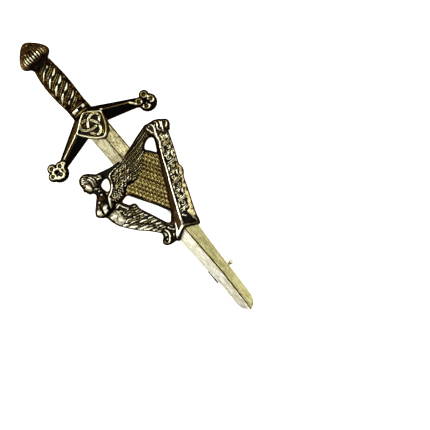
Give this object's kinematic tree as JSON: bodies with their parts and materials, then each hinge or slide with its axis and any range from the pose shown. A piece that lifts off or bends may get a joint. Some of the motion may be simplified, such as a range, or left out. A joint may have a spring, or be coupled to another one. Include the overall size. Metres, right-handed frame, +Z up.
{
  "type": "kilt pin",
  "caption": "Cast kilt pin shaped as a sword with a winged-maiden harp across its blade, with a hinged stem and a rotating safety catch behind.",
  "frame": {"origin": "middle of the pin's length and width, on the surface that it lies on with its face up", "axes": "+X across the sword to the right as seen from the front, +Y along the sword from the blade's tip to the pommel, +Z up through the face"},
  "size_m": [0.039, 0.1, 0.011],
  "materials": {
    "antique_gold": "antique gold plate with dark patina in the recesses",
    "dark_fitting": "dark gilt steel, worn bright on the edges",
    "bright_wire": "bright steel wire"
  },
  "bodies": {
    "brooch": {"casting": "antique_gold", "hinge_bracket": "dark_fitting", "hinge_rivet": "dark_fitting", "catch_housing": "dark_fitting"},
    "pin": {"pin_stem": "bright_wire"},
    "rotor": {"catch_rotor": "dark_fitting"}
  },
  "joints": [
    {"name": "pin_hinge", "type": "hinge", "parent": "brooch", "child": "pin", "pos_m": [0.001, 0.0199, 0.0021], "axis": [1, 0, 0], "range_deg": [0, 75]},
    {"name": "rotor_turn", "type": "hinge", "parent": "brooch", "child": "rotor", "pos_m": [0.001, -0.036, 0.0021], "axis": [0, 1, 0], "range_deg": [0, 150]}
  ]
}
